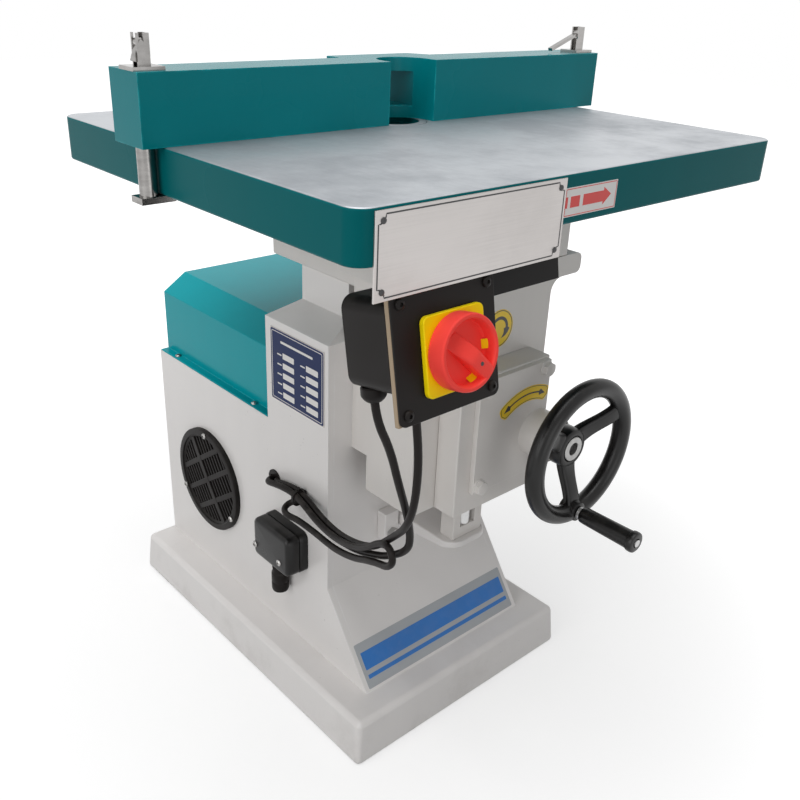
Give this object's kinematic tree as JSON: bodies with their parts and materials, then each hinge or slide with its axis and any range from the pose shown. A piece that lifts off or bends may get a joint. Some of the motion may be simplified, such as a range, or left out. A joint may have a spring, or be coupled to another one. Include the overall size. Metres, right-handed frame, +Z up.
{
  "type": "spindle moulder",
  "caption": "Floor-standing spindle moulder with a ground table that rises on a knee by handwheel, a pocketed fence with clamps, a belt-driven spindle and a front switch.",
  "frame": {"origin": "middle of the base plinth's underside, on the floor", "axes": "+X along the table's front edge to the right as the operator stands, +Y to the back, +Z up"},
  "size_m": [0.7437, 0.8188, 0.9401],
  "materials": {
    "stand_paint": "satin",
    "knee_paint": "satin",
    "teal_paint": "semi-gloss",
    "ground_iron": "ground",
    "machined_steel": "turned",
    "pulley_iron": "turned",
    "bright_plate": "polished",
    "light_metal": "satin",
    "motor_paint": "satin",
    "vent_plastic": "matte",
    "black_paint": "satin",
    "wheel_plastic": "semi-gloss",
    "cream_plastic": "matte",
    "yellow_plastic": "semi-gloss",
    "red_plastic": "semi-gloss",
    "cable_rubber": "matte"
  },
  "bodies": {
    "frame": {"base_plinth": "stand_paint", "side_plate_left": "stand_paint", "side_plate_right": "stand_paint", "front_plate": "stand_paint", "rear_plate": "stand_paint", "column_head": "stand_paint", "spindle_tube": "stand_paint", "slide_way": "machined_steel", "lift_ledge": "stand_paint", "screw_block": "knee_paint", "lead_screw": "machined_steel", "stop_lug": "stand_paint", "stop_bolt": "machined_steel", "motor_cover": "teal_paint", "casing_screws": "machined_steel", "vent_grille": "vent_plastic", "junction_box": "vent_plastic", "junction_lid": "vent_plastic", "junction_gland": "vent_plastic", "data_plate": "light_metal", "cable_grommet": "cable_rubber", "motor_plate": "machined_steel", "motor_housing": "motor_paint", "spindle_bearings": "machined_steel", "drive_belt": "cable_rubber", "cable_tie": "vent_plastic", "switch_cable": "cable_rubber", "supply_cable": "cable_rubber"},
    "rising_table": {"knee": "knee_paint", "gear_case": "knee_paint", "gear_case_cover": "knee_paint", "cover_bolts": "machined_steel", "table_support": "knee_paint", "table": "ground_iron", "table_ring": "ground_iron", "name_plate": "light_metal", "name_plate_rivets": "machined_steel", "switch_bracket": "black_paint", "switch_box": "vent_plastic", "switch_backing": "cream_plastic", "switch_panel": "vent_plastic", "switch_plate": "yellow_plastic", "panel_screws": "machined_steel", "switch_glands": "vent_plastic"},
    "handwheel": {"handwheel": "wheel_plastic", "hub_insert": "light_metal", "handwheel_shaft": "machined_steel", "grip_pin": "machined_steel"},
    "crank_grip": {"crank_grip": "wheel_plastic"},
    "lift_nut": {"lift_nut": "machined_steel"},
    "switch_knob": {"switch_knob": "red_plastic"},
    "motor_rotor": {"motor_shaft": "machined_steel", "motor_pulley": "pulley_iron"},
    "spindle": {"spindle_shaft": "machined_steel", "spindle_pulley": "pulley_iron"},
    "fence": {"fence": "teal_paint", "clamp_posts": "bright_plate", "clamp_plates": "bright_plate"},
    "clamp_lever_left": {"clamp_lever_left": "bright_plate"},
    "clamp_lever_right": {"clamp_lever_right": "bright_plate"}
  },
  "joints": [
    {"name": "table_lift", "type": "slide", "parent": "frame", "child": "rising_table", "axis": [0, 0, 1], "range_m": [0, 0.08]},
    {"name": "handwheel_turn", "type": "hinge", "parent": "rising_table", "child": "handwheel", "pos_m": [0.06, -0.366, 0.457], "axis": [0, 1, 0], "range_deg": [0, 6400]},
    {"name": "lift_nut_turn", "type": "hinge", "parent": "rising_table", "child": "lift_nut", "pos_m": [0, -0.268, 0.457], "axis": [0, 0, 1], "range_deg": [0, 4800]},
    {"name": "grip_spin", "type": "hinge", "parent": "handwheel", "child": "crank_grip", "pos_m": [0.05853, -0.42, 0.37301], "axis": [0, 1, 0], "continuous": true},
    {"name": "switch_turn", "type": "hinge", "parent": "rising_table", "child": "switch_knob", "pos_m": [-0.2305, -0.4495, 0.6841], "axis": [0, -0.9833, 0.1822], "range_deg": [0, 90]},
    {"name": "motor_spin", "type": "hinge", "parent": "frame", "child": "motor_rotor", "pos_m": [0, 0.128, 0.415], "axis": [0, 0, 1], "continuous": true},
    {"name": "spindle_spin", "type": "hinge", "parent": "frame", "child": "spindle", "pos_m": [0, -0.09, 0.6], "axis": [0, 0, 1], "continuous": true},
    {"name": "fence_slide", "type": "slide", "parent": "rising_table", "child": "fence", "axis": [0, 1, 0], "range_m": [-0.03, 0.06]},
    {"name": "clamp_left_swing", "type": "hinge", "parent": "fence", "child": "clamp_lever_left", "pos_m": [-0.3525, -0.104, 0.9311], "axis": [0, 1, 0], "range_deg": [0, 110]},
    {"name": "clamp_right_swing", "type": "hinge", "parent": "fence", "child": "clamp_lever_right", "pos_m": [0.3485, -0.104, 0.9311], "axis": [0, 1, 0], "range_deg": [0, 90]}
  ],
  "couplings": [
    {"joint": "handwheel_turn", "follows": "table_lift", "rad_per_m": 1396.3},
    {"joint": "lift_nut_turn", "follows": "table_lift", "rad_per_m": 1047.2},
    {"joint": "spindle_spin", "follows": "motor_spin", "ratio": 2.2941}
  ]
}
